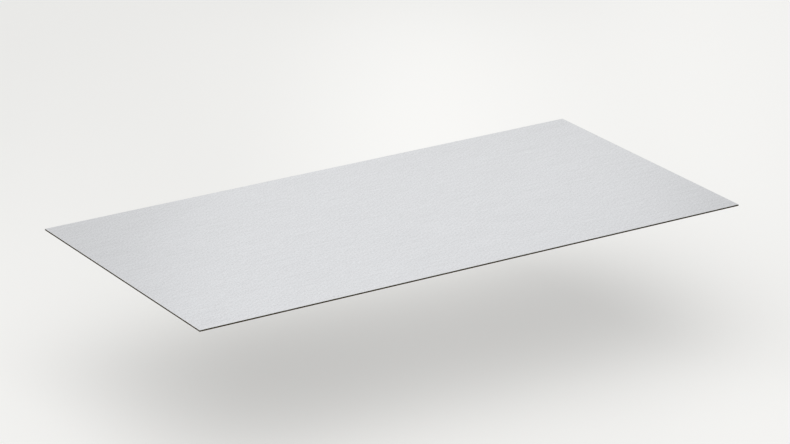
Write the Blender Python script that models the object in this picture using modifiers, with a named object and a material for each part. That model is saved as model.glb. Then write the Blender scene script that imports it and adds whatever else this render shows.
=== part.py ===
"""Wall panel: a rigid sheet of stone powder and plastic with a decor film bonded to its face.

Metres. The panel lies flat with its decor face up: X runs along the sheet, Y across it and Z
through it, and the origin is the middle of the back face.
"""

import bpy

# The whole panel, as it is cut and sold.
SHEET_LENGTH = 2.440
SHEET_WIDTH = 1.220
SHEET_THICKNESS = 0.006

# The decor film and its glue line, both taken out of the panel's thickness.
FILM_THICKNESS = 0.0003
GLUE_LINE = 0.0003

# The saw leaves square edges, and the back ones are broken by this much on each face.
BACK_ARRIS = 0.0003

# Colours are linear. The core is dark olive brown all through, and the film is a cool pale grey.
CORE_COLOR = (0.105, 0.093, 0.067, 1.0)
CORE_ROUGHNESS = 0.75
FILM_COLOR = (0.700, 0.710, 0.725, 1.0)
FILM_ROUGHNESS = 0.45

# Heights above the back face, from the bottom up.
CORE_THICKNESS = SHEET_THICKNESS - FILM_THICKNESS - GLUE_LINE
FILM_HEIGHT = CORE_THICKNESS + GLUE_LINE


def clear_scene():
    for old in list(bpy.data.objects):
        bpy.data.objects.remove(old, do_unlink=True)


def plain_material(name, color, roughness):
    material = bpy.data.materials.new(name)
    material.use_nodes = True
    shader = material.node_tree.nodes["Principled BSDF"]
    shader.inputs["Base Color"].default_value = color
    shader.inputs["Roughness"].default_value = roughness
    shader.inputs["Metallic"].default_value = 0.0
    material.diffuse_color = color
    return material


def flat_sheet(name, thickness, height, collection, parent):
    """A rectangular sheet of the panel's length and width, its lower face at this height."""
    bpy.ops.mesh.primitive_cube_add(size=1.0, location=(0.0, 0.0, height + thickness / 2))
    sheet = bpy.context.object
    sheet.name = name
    sheet.data.name = name
    sheet.scale = (SHEET_LENGTH, SHEET_WIDTH, thickness)
    bpy.ops.object.transform_apply(location=False, rotation=False, scale=True)
    for other in list(sheet.users_collection):
        other.objects.unlink(sheet)
    collection.objects.link(sheet)
    sheet.parent = parent
    return sheet


def break_back_edges(sheet, width):
    """A flat arris of this width along the four edges round the sheet's lower face."""
    mesh = sheet.data
    weights = mesh.attributes.new("bevel_weight_edge", "FLOAT", "EDGE")
    for edge in mesh.edges:
        ends = [mesh.vertices[index].co.z for index in edge.vertices]
        weights.data[edge.index].value = 1.0 if max(ends) < 0.0 else 0.0
    arris = sheet.modifiers.new("back_arris", "BEVEL")
    arris.limit_method = "WEIGHT"
    arris.offset_type = "OFFSET"
    arris.width = width
    arris.segments = 1


def make_core_board(collection, parent):
    """The extruded core: the sheet's dark edges and its back."""
    board = flat_sheet("core_board", CORE_THICKNESS, 0.0, collection, parent)
    break_back_edges(board, BACK_ARRIS)
    board.data.materials.append(plain_material("spc_core", CORE_COLOR, CORE_ROUGHNESS))
    return board


def make_decor_film(collection, parent):
    """The printed film that is the visible face, trimmed flush with the core all round."""
    film = flat_sheet("decor_film", FILM_THICKNESS, FILM_HEIGHT, collection, parent)
    film.data.materials.append(plain_material("decor_film", FILM_COLOR, FILM_ROUGHNESS))
    return film


def main():
    clear_scene()
    collection = bpy.data.collections.new("wall_panel")
    bpy.context.scene.collection.children.link(collection)
    origin = bpy.data.objects.new("back_face_middle", None)
    origin.empty_display_size = 0.1
    collection.objects.link(origin)
    make_core_board(collection, origin)
    make_decor_film(collection, origin)


main()
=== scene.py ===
# %% [markdown]
# # A wall panel, dressed for its picture
#
# The object is one thin, stiff sheet, 2.44 m long and 1.22 m wide. Its core is a dark mixture of
# stone powder and plastic, and its face is a pale grey satin film. This script loads the packed
# solids, adds what they leave out, and gives every surface its finish. Lengths are metres, apart
# from the camera's sensor and lens, which Blender takes in millimetres.

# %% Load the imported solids
import math

import bpy
from mathutils import Matrix, Vector


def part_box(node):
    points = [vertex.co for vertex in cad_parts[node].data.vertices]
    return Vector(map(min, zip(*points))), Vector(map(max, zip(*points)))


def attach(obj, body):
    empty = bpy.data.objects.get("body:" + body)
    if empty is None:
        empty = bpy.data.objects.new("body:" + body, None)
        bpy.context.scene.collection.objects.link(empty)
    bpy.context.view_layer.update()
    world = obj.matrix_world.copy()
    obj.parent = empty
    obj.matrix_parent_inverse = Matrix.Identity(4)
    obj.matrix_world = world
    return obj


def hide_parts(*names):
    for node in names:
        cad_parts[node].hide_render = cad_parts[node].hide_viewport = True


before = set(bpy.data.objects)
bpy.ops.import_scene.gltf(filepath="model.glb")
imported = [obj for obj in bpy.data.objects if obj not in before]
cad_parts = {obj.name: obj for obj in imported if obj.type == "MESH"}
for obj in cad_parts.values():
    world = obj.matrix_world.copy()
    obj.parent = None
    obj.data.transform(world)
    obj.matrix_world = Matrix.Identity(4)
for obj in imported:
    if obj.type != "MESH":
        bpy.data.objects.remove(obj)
bpy.context.view_layer.update()
bpy.context.view_layer.update()

# %% [markdown]
# ## Sizes that everything else is worked out from
#
# The film's piece has to sit exactly on the core, so its place is read from the solids and not
# written again here. What the solids leave open is the glue line, a slit of 0.3 mm between core
# and film, because two meshes that touch would count as overlapping.

# %% Read the places of the core and the film
core_low, core_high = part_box("core_board")
film_low, film_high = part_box("decor_film")
FACE_TOP = film_high.z
# New pieces stay this far from their neighbours, and heights nearer than this count as the same.
SEAM = 0.00002
print(f"core {1000 * core_high.z:.2f} mm thick, film {1000 * (film_high.z - film_low.z):.2f} mm")
print(f"glue line {1000 * (film_low.z - core_high.z):.2f} mm, face at {1000 * FACE_TOP:.2f} mm")

# %% [markdown]
# ## The camera
#
# The picture was taken with a long lens from far away, which is why the sheet's opposite edges
# stay nearly parallel. The view is given as a product photographer would: how far round the
# sheet the camera stands, how high above it, how far off and with what lens. The aim is the
# middle of the face, which a small shift then moves to its place in the picture.

# %% Place the camera
SENSOR_WIDTH = 36.0
LENS_LENGTH = 168.243
FARTHEST_SEEN = 200.0
CAMERA_YAW = math.radians(32.26)
CAMERA_PITCH = math.radians(20.76)
CAMERA_DISTANCE = 14.45
AIM_RIGHT = -0.0008
AIM_UP = 0.0215

camera_data = bpy.data.cameras.new("camera")
camera_data.sensor_width = SENSOR_WIDTH
camera_data.lens = LENS_LENGTH
camera_data.clip_end = FARTHEST_SEEN
camera = bpy.data.objects.new("camera", camera_data)
bpy.context.scene.collection.objects.link(camera)

view_away = Vector((math.sin(CAMERA_YAW), math.cos(CAMERA_YAW), 0.0))
view_right = Vector((math.cos(CAMERA_YAW), -math.sin(CAMERA_YAW), 0.0))
line_of_sight = view_away * math.cos(CAMERA_PITCH) - Vector((0, 0, math.sin(CAMERA_PITCH)))
view_up = view_right.cross(line_of_sight)
face_middle = Vector(((film_low.x + film_high.x) / 2, (film_low.y + film_high.y) / 2, FACE_TOP))
camera.location = (
    face_middle - CAMERA_DISTANCE * line_of_sight - AIM_RIGHT * view_right - AIM_UP * view_up
)
turn = Matrix((view_right, view_up, -line_of_sight)).transposed()
camera.rotation_euler = turn.to_euler()
bpy.context.scene.camera = camera
print(f"lens {camera_data.lens:.1f} mm at {CAMERA_DISTANCE} m")

# %% [markdown]
# ## Thin sheets, and selecting by place
#
# Both new pieces are thin sheets. A sheet starts as a flat rectangle, which is then drawn up to
# its thickness. Its object stays at the origin, with its place in its mesh. Edges are chosen in
# code by where they are, as a modeller would click on them, and the second helper opens a piece
# in edit mode with only the wanted ones selected.

# %% Helpers for modelling
def draw_up_sheet(name, low, high):
    """A rectangle between two corners, drawn up from the lower one's height to the higher one's."""
    middle = (low + high) / 2
    size = high - low
    bpy.ops.object.select_all(action="DESELECT")
    bpy.ops.mesh.primitive_plane_add(size=1.0, location=(middle.x, middle.y, low.z))
    piece = bpy.context.object
    piece.name = name
    piece.data.name = name
    piece.scale = (size.x, size.y, 1.0)
    bpy.ops.object.transform_apply(location=True, rotation=True, scale=True)
    bpy.ops.object.mode_set(mode="EDIT")
    bpy.ops.mesh.select_all(action="SELECT")
    bpy.ops.mesh.extrude_region_move(TRANSFORM_OT_translate={"value": (0.0, 0.0, size.z)})
    bpy.ops.mesh.select_all(action="SELECT")
    bpy.ops.mesh.normals_make_consistent(inside=False)
    bpy.ops.object.mode_set(mode="OBJECT")
    return piece


def edit_edges(piece, wanted):
    """Opens the piece in edit mode with the edges selected whose two ends satisfy wanted."""
    for face in piece.data.polygons:
        face.select = False
    for vertex in piece.data.vertices:
        vertex.select = False
    for edge in piece.data.edges:
        edge.select = all(wanted(piece.data.vertices[index].co) for index in edge.vertices)
    bpy.ops.object.mode_set(mode="EDIT")
    bpy.ops.mesh.select_mode(type="EDGE")


# %% [markdown]
# ## The decor film
#
# The face is a film that is pressed onto the core hot, and then cut flush with a blade. The
# blade leaves the upper edge very slightly round, so it catches a thin line of light. A Bevel
# modifier would round the lower edges too, so the upper ones are chosen and bevelled.
# The new sheet takes the place of the plain solid.

# %% Model the film
FILM_EDGE_ROUND = 0.00012
FILM_EDGE_STEPS = 3
SMOOTH_BELOW = math.radians(35)

film = draw_up_sheet("film_sheet", film_low, film_high)
edit_edges(film, lambda corner: corner.z > film_high.z - SEAM)
bpy.ops.mesh.bevel(offset=FILM_EDGE_ROUND, segments=FILM_EDGE_STEPS, profile=0.5)
bpy.ops.object.mode_set(mode="OBJECT")
bpy.ops.object.shade_smooth_by_angle(angle=SMOOTH_BELOW)
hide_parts("decor_film")
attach(film, "root")
print(f"film_sheet: {len(film.data.polygons)} faces")

# %% [markdown]
# ## The top of the core
#
# On the real panel the core reaches right up to the film. Its uppermost 0.3 mm is missing from
# the solids. The core's own mesh could be made taller, but a loaded solid is best left alone, so
# a thin sheet of the same material closes the slit.

# %% Model the top of the core
seam_up = Vector((0.0, 0.0, SEAM))
core_top = draw_up_sheet(
    "core_top",
    Vector((core_low.x, core_low.y, core_high.z)) + seam_up,
    Vector((core_high.x, core_high.y, film_low.z)) - seam_up,
)
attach(core_top, "root")
print(f"core_top: {1000 * core_top.dimensions.z:.2f} mm thick")

# %% [markdown]
# ## Shared patterns
#
# Two effects turn up in more than one finish. Streaks are noise that is drawn out more one way
# than another: threads along the sheet or across it, roller marks, or saw marks down an edge.
# Grain is the same noise left even all round. A third one, twill, is a slanted wave, as the ribs
# of a woven cloth. Each is a node group with its real sizes as inputs, in metres, so that it is
# built once and every finish can use it at another size. The helpers come first: an empty group,
# a sum or product, a change of range, and plain noise.

# %% Helpers for nodes
def new_group(name, inputs, outputs):
    """An empty node group with these float inputs and outputs, and its two end nodes."""
    group = bpy.data.node_groups.new(name, "ShaderNodeTree")
    for label, value in inputs:
        socket = group.interface.new_socket(label, in_out="INPUT", socket_type="NodeSocketFloat")
        socket.default_value = value
    for label in outputs:
        group.interface.new_socket(label, in_out="OUTPUT", socket_type="NodeSocketFloat")
    return group, group.nodes.new("NodeGroupInput"), group.nodes.new("NodeGroupOutput")


def math_node(tree, operation, first, second):
    """A Math node whose two inputs are either values or sockets."""
    node = tree.nodes.new("ShaderNodeMath")
    node.operation = operation
    for socket, value in zip(node.inputs, (first, second)):
        if isinstance(value, (int, float)):
            socket.default_value = value
        else:
            tree.links.new(value, socket)
    return node.outputs[0]


def mapped(tree, value, from_range, to_range=(0.0, 1.0), curve="LINEAR"):
    """A value moved from one range to another and kept inside it."""
    node = tree.nodes.new("ShaderNodeMapRange")
    node.interpolation_type = curve
    node.inputs["From Min"].default_value, node.inputs["From Max"].default_value = from_range
    node.inputs["To Min"].default_value, node.inputs["To Max"].default_value = to_range
    tree.links.new(value, node.inputs["Value"])
    return node.outputs["Result"]


def noise(tree, vector, scale, detail, roughness):
    """A Noise Texture whose scale is a number or a socket."""
    node = tree.nodes.new("ShaderNodeTexNoise")
    node.inputs["Detail"].default_value = detail
    node.inputs["Roughness"].default_value = roughness
    tree.links.new(vector, node.inputs["Vector"])
    if isinstance(scale, (int, float)):
        node.inputs["Scale"].default_value = scale
    else:
        tree.links.new(scale, node.inputs["Scale"])
    return node.outputs[0]


def own_place(tree):
    """Where a point lies on the piece, in the piece's own metres."""
    return tree.nodes.new("ShaderNodeTexCoord").outputs["Object"]


# %% Build the streaks
def build_streaks():
    """Drawn-out noise: X, Y and Z are the size of one streak, and Offset picks another part."""
    group, start, end = new_group(
        "streaks", [("X", 0.2), ("Y", 0.004), ("Z", 0.004), ("Offset", 0.0)], ["Value"]
    )
    stretch = group.nodes.new("ShaderNodeCombineXYZ")
    for axis in "XYZ":
        group.links.new(math_node(group, "DIVIDE", 1.0, start.outputs[axis]), stretch.inputs[axis])
    scaled = group.nodes.new("ShaderNodeVectorMath")
    scaled.operation = "MULTIPLY_ADD"
    group.links.new(own_place(group), scaled.inputs[0])
    group.links.new(stretch.outputs[0], scaled.inputs[1])
    group.links.new(start.outputs["Offset"], scaled.inputs[2])
    value = noise(group, scaled.outputs[0], scale=1.0, detail=2.0, roughness=0.55)
    group.links.new(value, end.inputs["Value"])
    return group


STREAKS = build_streaks()
print("group:", STREAKS.name)


# %% Build the grain
def build_grain():
    """Even noise: Size is the width of its coarsest spots."""
    group, start, end = new_group("grain", [("Size", 0.01)], ["Value"])
    scale = math_node(group, "DIVIDE", 1.0, start.outputs["Size"])
    value = noise(group, own_place(group), scale, detail=3.0, roughness=0.7)
    group.links.new(value, end.inputs["Value"])
    return group


GRAIN = build_grain()
print("group:", GRAIN.name)

# %% Build the twill
# The ribs drift to and fro about this many times in a metre.
DRIFT_PER_METRE = 8.0


def build_twill():
    """Diagonal ribs: Along and Across are the steps from rib to rib along X and along Y."""
    group, start, end = new_group(
        "twill", [("Along", 0.03), ("Across", 0.02), ("Wobble", 1.0)], ["Value"]
    )
    axes = group.nodes.new("ShaderNodeSeparateXYZ")
    group.links.new(own_place(group), axes.inputs[0])
    along = math_node(group, "DIVIDE", axes.outputs["X"], start.outputs["Along"])
    across = math_node(group, "DIVIDE", axes.outputs["Y"], start.outputs["Across"])
    sway = noise(group, own_place(group), scale=DRIFT_PER_METRE, detail=1.0, roughness=0.5)
    drift = math_node(group, "MULTIPLY", sway, start.outputs["Wobble"])
    turns = math_node(group, "ADD", math_node(group, "SUBTRACT", along, across), drift)
    wave = math_node(group, "SINE", math_node(group, "MULTIPLY", turns, 2 * math.pi), 0.0)
    group.links.new(mapped(group, wave, from_range=(-1.0, 1.0)), end.inputs["Value"])
    return group


TWILL = build_twill()
print("group:", TWILL.name)

# %% [markdown]
# ## Finishes
#
# A finish starts as a Principled BSDF. Patterns then vary its colour a little, its roughness a
# little, and its normal through a Bump node. To vary a colour, each pattern is centred on nought
# and scaled by its share. Their sum, added to a middle tone, picks a place between a dark and a
# light colour. Core and film are also painted darker on their cut sides, partly as painted shade.
# A point is on a cut side when it lies on the rectangle's outline, which a material tells from
# its own coordinates.

# %% Helpers for materials
def new_material(name):
    """A material with a Principled BSDF, its node tree and that shader."""
    material = bpy.data.materials.new(name)
    material.use_nodes = True
    return material, material.node_tree, material.node_tree.nodes["Principled BSDF"]


def pattern(tree, group, **values):
    """The output of a pattern group placed in a material with these input values."""
    node = tree.nodes.new("ShaderNodeGroup")
    node.node_tree = group
    for label, value in values.items():
        node.inputs[label].default_value = value
    return node.outputs["Value"]


def bumped(tree, shader, height, distance, strength):
    """Feeds the shader's normal with a Bump node of this height."""
    bump = tree.nodes.new("ShaderNodeBump")
    bump.inputs["Strength"].default_value = strength
    bump.inputs["Distance"].default_value = distance
    tree.links.new(height, bump.inputs["Height"])
    tree.links.new(bump.outputs["Normal"], shader.inputs["Normal"])


def set_material(piece, material):
    """Gives the piece this material and no other."""
    piece.data.materials.clear()
    piece.data.materials.append(material)


# %% Helpers for colours
# Patterns and tones both go from 0 to 1.
MIDDLE = 0.5


def centred(tree, value, share):
    """A pattern from 0 to 1, moved to lie round nought and scaled by this share."""
    return math_node(tree, "MULTIPLY", math_node(tree, "SUBTRACT", value, MIDDLE), share)


def summed(tree, values):
    """All these values added up."""
    total = values[0]
    for value in values[1:]:
        total = math_node(tree, "ADD", total, value)
    return total


def tinted(tree, fac, low_color, high_color):
    """Goes from one colour to the other as fac goes from 0 to 1. Each may be a socket."""
    mix = tree.nodes.new("ShaderNodeMix")
    mix.data_type = "RGBA"
    for label, color in (("A", low_color), ("B", high_color)):
        if isinstance(color, tuple):
            mix.inputs[label].default_value = (*color, 1.0)
        else:
            tree.links.new(color, mix.inputs[label])
    tree.links.new(fac, mix.inputs["Factor"])
    return mix.outputs["Result"]


def on_cut_side(tree, depth):
    """1 on the four cut sides of the sheet, to this depth inwards, and 0 elsewhere."""
    axes = tree.nodes.new("ShaderNodeSeparateXYZ")
    tree.links.new(own_place(tree), axes.inputs[0])
    marks = []
    for axis, half_size in (("X", core_high.x), ("Y", core_high.y)):
        from_middle = math_node(tree, "ABSOLUTE", axes.outputs[axis], 0.0)
        marks.append(math_node(tree, "GREATER_THAN", from_middle, half_size - depth))
    return math_node(tree, "MAXIMUM", *marks)


# %% [markdown]
# ## The satin film
#
# Seen from a distance the face is an even cool light grey. Closer, it is printed and pressed like
# a fine cloth: long threads along the sheet, a few a little darker, faint slanted ribs, and an
# even grain over all. Closest of all, short threads cross each other, and these are the ones
# that the film's pressed relief follows. A picture of real film could be laid on instead, but
# noise never repeats, and it stays sharp however near the camera comes. On its cut sides the film
# is painted nearly as dark as the core's cut sides, partly as painted shade, so the dark line
# starts right at the face.

# %% Make the film's finish
FILM_DARK = (0.500, 0.507, 0.521)
FILM_LIGHT = (0.900, 0.913, 0.938)
# The film's cut sides are painted nearly as dark as the core's, partly as painted shade.
SHADED_FILM_SIDE = (0.055, 0.045, 0.022)
FILM_SIDE_DEPTH = 0.00002
FEW_THREADS_SHARE = -0.06

satin, tree, shader = new_material("satin_film")
threads = pattern(tree, STREAKS, X=0.250, Y=0.006, Z=0.006, Offset=7.0)
weft = pattern(tree, STREAKS, X=0.040, Y=0.0015, Z=0.002, Offset=1.0)
warp = pattern(tree, STREAKS, X=0.0015, Y=0.020, Z=0.002, Offset=2.0)
ribs = pattern(tree, TWILL, Along=0.0323, Across=0.0208, Wobble=0.6)
spots = pattern(tree, GRAIN, Size=0.006)
few_threads = mapped(tree, threads, from_range=(0.60, 0.78))
tone = summed(tree, [
    MIDDLE,
    centred(tree, threads, share=0.47),
    centred(tree, ribs, share=0.052),
    centred(tree, weft, share=0.60),
    centred(tree, warp, share=0.60),
    centred(tree, spots, share=1.45),
    math_node(tree, "MULTIPLY", few_threads, FEW_THREADS_SHARE),
])
face_tint = tinted(tree, tone, FILM_DARK, FILM_LIGHT)
# Painted shade, in part: the film's cut sides get the dark colour.
film_tint = tinted(tree, on_cut_side(tree, FILM_SIDE_DEPTH), face_tint, SHADED_FILM_SIDE)
gloss = mapped(tree, threads, from_range=(0.3, 0.7), to_range=(0.40, 0.50))
tree.links.new(film_tint, shader.inputs["Base Color"])
tree.links.new(gloss, shader.inputs["Roughness"])
bumped(tree, shader, math_node(tree, "ADD", weft, warp), distance=0.00005, strength=0.40)
set_material(film, satin)
print("finish:", satin.name)

# %% [markdown]
# ## The stone and plastic core
#
# The core is dark olive brown all through. Its cut sides, down to the arris round its back, are
# painted darker than the back, partly as painted shade on the upright sides, and fine upright
# marks and a few pale specks of stone powder show there. The back is paler, with faint streaks
# along the sheet that the rollers left. Stone powder takes away nearly all of its shine. Saw
# marks could be cut into the mesh, but they are far too shallow to change its outline, so a Bump
# node is enough.

# %% Make the core's finish
# The cut sides are painted darker than the back, partly as painted shade on the upright sides.
SHADED_CUT_DARK = (0.034, 0.023, 0.006)
SHADED_CUT_LIGHT = (0.072, 0.051, 0.014)
CUT_DEPTH = 0.00031
BACK_DARK = (0.088, 0.078, 0.055)
BACK_LIGHT = (0.152, 0.137, 0.101)
SPECK_COLOR = (0.250, 0.230, 0.170)
CORE_SHINE = 0.02

core, tree, shader = new_material("stone_core")
rolled = pattern(tree, STREAKS, X=0.600, Y=0.020, Z=0.020, Offset=11.0)
sawn = pattern(tree, STREAKS, X=0.0012, Y=0.0012, Z=0.030, Offset=13.0)
clouds = pattern(tree, GRAIN, Size=0.120)
powder = pattern(tree, GRAIN, Size=0.0010)
specks = mapped(tree, powder, from_range=(0.64, 0.70))
mottle = summed(tree, [
    MIDDLE,
    centred(tree, clouds, share=0.25),
    centred(tree, powder, share=0.50),
])
back_tone = math_node(tree, "ADD", mottle, centred(tree, rolled, share=0.75))
cut_tone = math_node(tree, "ADD", mottle, centred(tree, sawn, share=0.60))
back_tint = tinted(tree, back_tone, BACK_DARK, BACK_LIGHT)
# Painted shade, in part: the cut sides get this darker colour.
shaded_cut_tint = tinted(tree, cut_tone, SHADED_CUT_DARK, SHADED_CUT_LIGHT)
body = tinted(tree, on_cut_side(tree, CUT_DEPTH), back_tint, shaded_cut_tint)
gloss = mapped(tree, rolled, from_range=(0.3, 0.7), to_range=(0.62, 0.80))
shader.inputs["Specular IOR Level"].default_value = CORE_SHINE
tree.links.new(tinted(tree, specks, body, SPECK_COLOR), shader.inputs["Base Color"])
tree.links.new(gloss, shader.inputs["Roughness"])
bumped(tree, shader, math_node(tree, "ADD", sawn, powder), distance=0.0001, strength=0.40)
set_material(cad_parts["core_board"], core)
set_material(core_top, core)
print("finish:", core.name)

# %% [markdown]
# ## The ground
#
# The sheet floats over a plain warm-white ground, and its soft shadow lies below it. The ground
# is a very large plane, because a long lens looks far past the sheet. Part of its paleness is its
# own colour, and part is a glow that only the camera and reflections see. The glow keeps the
# shadow light without adding light to the sheet. It rises a little from the camera's left to its
# right, and two wide soft pools lift it behind the sheet and at the front left. From below the
# ground lets the camera through.

# %% Colours of the ground
GROUND_COLOR = (0.464, 0.462, 0.449)
GROUND_GLOW = (0.453, 0.452, 0.447)
# The glow grows by this share between these two distances to the camera's right.
GLOW_RISE = 0.160
GLOW_RISE_FROM = 0.3
GLOW_RISE_TO = 1.65
# The middle of each pool lies this far to the camera's right and this far away from it, counted
# from the middle of the sheet.
POOLS = (
    {"right": 0.2, "away": 2.2, "half_width": 1.0, "half_depth": 4.9, "share": 0.146},
    {"right": -1.7, "away": -2.0, "half_width": 1.2, "half_depth": 6.5, "share": 0.185},
)
print(f"ground with {len(POOLS)} soft pools of light")


# %% Helpers for light on the ground
def seen_directly(tree):
    """1 for rays from the camera, from a reflection or through glass, and 0 for light."""
    path = tree.nodes.new("ShaderNodeLightPath")
    seen = math_node(tree, "MAXIMUM", path.outputs["Is Camera Ray"], path.outputs["Is Glossy Ray"])
    return math_node(tree, "MAXIMUM", seen, path.outputs["Is Transmission Ray"])


def soft_rise(tree, value, start, end, share):
    """Goes softly from nought to this share as the value goes from start to end."""
    return mapped(tree, value, (start, end), (0.0, share), curve="SMOOTHSTEP")


def pool_of_light(tree, right, away, half_width, half_depth, share):
    """A soft oval on the ground that fades from this share in its middle to nought."""
    oval = tree.nodes.new("ShaderNodeMapping")
    oval.vector_type = "TEXTURE"
    oval.inputs["Location"].default_value = right * view_right + away * view_away
    oval.inputs["Rotation"].default_value = (0.0, 0.0, -CAMERA_YAW)
    oval.inputs["Scale"].default_value = (half_width, half_depth, 1.0)
    tree.links.new(own_place(tree), oval.inputs["Vector"])
    fade = tree.nodes.new("ShaderNodeTexGradient")
    fade.gradient_type = "SPHERICAL"
    tree.links.new(oval.outputs["Vector"], fade.inputs["Vector"])
    return soft_rise(tree, fade.outputs["Fac"], 0.0, 1.0, share)


# %% Make the ground's finish
ground_finish = bpy.data.materials.new("ground")
ground_finish.use_nodes = True
tree = ground_finish.node_tree
tree.nodes.clear()
paint = tree.nodes.new("ShaderNodeBsdfDiffuse")
paint.inputs["Color"].default_value = (*GROUND_COLOR, 1.0)

sideways = tree.nodes.new("ShaderNodeVectorMath")
sideways.operation = "DOT_PRODUCT"
sideways.inputs[1].default_value = view_right
tree.links.new(own_place(tree), sideways.inputs[0])
rise = soft_rise(tree, sideways.outputs["Value"], GLOW_RISE_FROM, GLOW_RISE_TO, GLOW_RISE)
brightness = summed(tree, [rise, 1.0] + [pool_of_light(tree, **pool) for pool in POOLS])
glow = tree.nodes.new("ShaderNodeEmission")
glow.inputs["Color"].default_value = (*GROUND_GLOW, 1.0)
glow_strength = math_node(tree, "MULTIPLY", brightness, seen_directly(tree))
tree.links.new(glow_strength, glow.inputs["Strength"])

both = tree.nodes.new("ShaderNodeAddShader")
tree.links.new(paint.outputs[0], both.inputs[0])
tree.links.new(glow.outputs[0], both.inputs[1])
one_sided = tree.nodes.new("ShaderNodeMixShader")
tree.links.new(tree.nodes.new("ShaderNodeNewGeometry").outputs["Backfacing"], one_sided.inputs[0])
tree.links.new(both.outputs[0], one_sided.inputs[1])
tree.links.new(tree.nodes.new("ShaderNodeBsdfTransparent").outputs[0], one_sided.inputs[2])
tree.links.new(one_sided.outputs[0], tree.nodes.new("ShaderNodeOutputMaterial").inputs["Surface"])
print("finish:", ground_finish.name)

# %% Lay the ground
GROUND_DROP = 0.56
GROUND_HALF = 120.0

bpy.ops.object.select_all(action="DESELECT")
bpy.ops.mesh.primitive_plane_add(size=2 * GROUND_HALF, location=(0, 0, core_low.z - GROUND_DROP))
ground = bpy.context.object
ground.name = "ground"
set_material(ground, ground_finish)
print(f"{ground.name}: {2 * GROUND_HALF:.0f} m wide, {GROUND_DROP} m below the sheet")

# %% [markdown]
# ## The light
#
# Three lights add up to a plain level, at which a colour shows about as it is written. The world
# gives even light from all sides. A broad sun stands high behind the camera's left shoulder and
# gives the soft shadow. A long softbox hangs close over the sheet, a little to the camera's
# right, and is narrower than the sheet as the camera sees it, so both ends fall off a little and
# the left one more. A weak light from below stands in for what the ground throws back onto the
# underside. The levels are shares of full light on the face, and a lamp's watts are worked out
# from its share. Where the ground ends, the camera sees the world in the ground's own colour, so
# no horizon shows.

# %% Levels of the lights
WORLD_LEVEL = 0.200
SUN_LEVEL = 0.576
SOFTBOX_LEVEL = 0.178
UNDER_LEVEL = 0.35
print(f"level on the face about {WORLD_LEVEL + SUN_LEVEL + SOFTBOX_LEVEL:.2f}")

# %% Fill the world with even light
world = bpy.data.worlds.new("studio")
bpy.context.scene.world = world
world.use_nodes = True
tree = world.node_tree
tree.nodes.clear()
lighting = tree.nodes.new("ShaderNodeBackground")
lighting.inputs["Color"].default_value = (1.0, 1.0, 1.0, 1.0)
lighting.inputs["Strength"].default_value = WORLD_LEVEL
far_ground = [
    paint_level * (WORLD_LEVEL + SUN_LEVEL) + glow_level * (1 + GLOW_RISE / 2)
    for paint_level, glow_level in zip(GROUND_COLOR, GROUND_GLOW)
]
backdrop = tree.nodes.new("ShaderNodeBackground")
backdrop.inputs["Color"].default_value = (*far_ground, 1.0)
choice = tree.nodes.new("ShaderNodeMixShader")
tree.links.new(seen_directly(tree), choice.inputs[0])
tree.links.new(lighting.outputs[0], choice.inputs[1])
tree.links.new(backdrop.outputs[0], choice.inputs[2])
tree.links.new(choice.outputs[0], tree.nodes.new("ShaderNodeOutputWorld").inputs["Surface"])
print("far ground:", [round(level, 3) for level in far_ground])


# %% Helper for lamps
def add_light(name, kind, place, turn, **settings):
    """A lamp that the camera doesn't see."""
    data = bpy.data.lights.new(name, kind)
    for key, value in settings.items():
        setattr(data, key, value)
    lamp = bpy.data.objects.new(name, data)
    lamp.location = place
    lamp.rotation_euler = turn
    lamp.visible_camera = False
    bpy.context.scene.collection.objects.link(lamp)
    return lamp


# %% Hang the sun
SUN_SPREAD = math.radians(104)
SUN_DISTANCE = 5.0
# For each metre up, the sun stands this far to the camera's left and this far behind it.
SUN_LEFT = 0.318
SUN_BEHIND = 0.300

sun_towards = Vector((0.0, 0.0, 1.0)) - SUN_LEFT * view_right - SUN_BEHIND * view_away
sun = add_light(
    "sun",
    "SUN",
    SUN_DISTANCE * sun_towards,
    sun_towards.to_track_quat("Z", "Y").to_euler(),
    energy=SUN_LEVEL * math.pi * sun_towards.length,
    angle=SUN_SPREAD,
)
print(f"sun: {sun.data.energy:.2f} watts for each square metre")

# %% Hang the softbox
SOFTBOX_HEIGHT = 0.315
SOFTBOX_WIDTH = 2.18
SOFTBOX_LENGTH = 9.0
SOFTBOX_SHIFT = 0.145

# A long strip gives the point below its middle this share of what a whole bright sky would.
sky_share = math.sin(math.atan2(SOFTBOX_WIDTH / 2, SOFTBOX_HEIGHT))
softbox = add_light(
    "softbox",
    "AREA",
    SOFTBOX_SHIFT * view_right + Vector((0, 0, FACE_TOP + SOFTBOX_HEIGHT)),
    (0, 0, -CAMERA_YAW),
    energy=SOFTBOX_LEVEL / sky_share * math.pi * SOFTBOX_WIDTH * SOFTBOX_LENGTH,
    shape="RECTANGLE",
    size=SOFTBOX_WIDTH,
    size_y=SOFTBOX_LENGTH,
)
print(f"softbox: {softbox.data.energy:.1f} watts")

# %% Hang the light from below
UNDER_SIZE = 2.4
UNDER_CLEARANCE = 0.05

under = add_light(
    "under_light",
    "AREA",
    (0, 0, core_low.z - GROUND_DROP + UNDER_CLEARANCE),
    (math.pi, 0, 0),
    energy=UNDER_LEVEL * math.pi * UNDER_SIZE**2,
    shape="SQUARE",
    size=UNDER_SIZE,
)
print(f"light from below: {under.data.energy:.1f} watts")

# %% [markdown]
# ## Finish
#
# Colours go to the picture as they are, with the Standard view.

# %% Set the view transform
bpy.context.scene.view_settings.view_transform = "Standard"
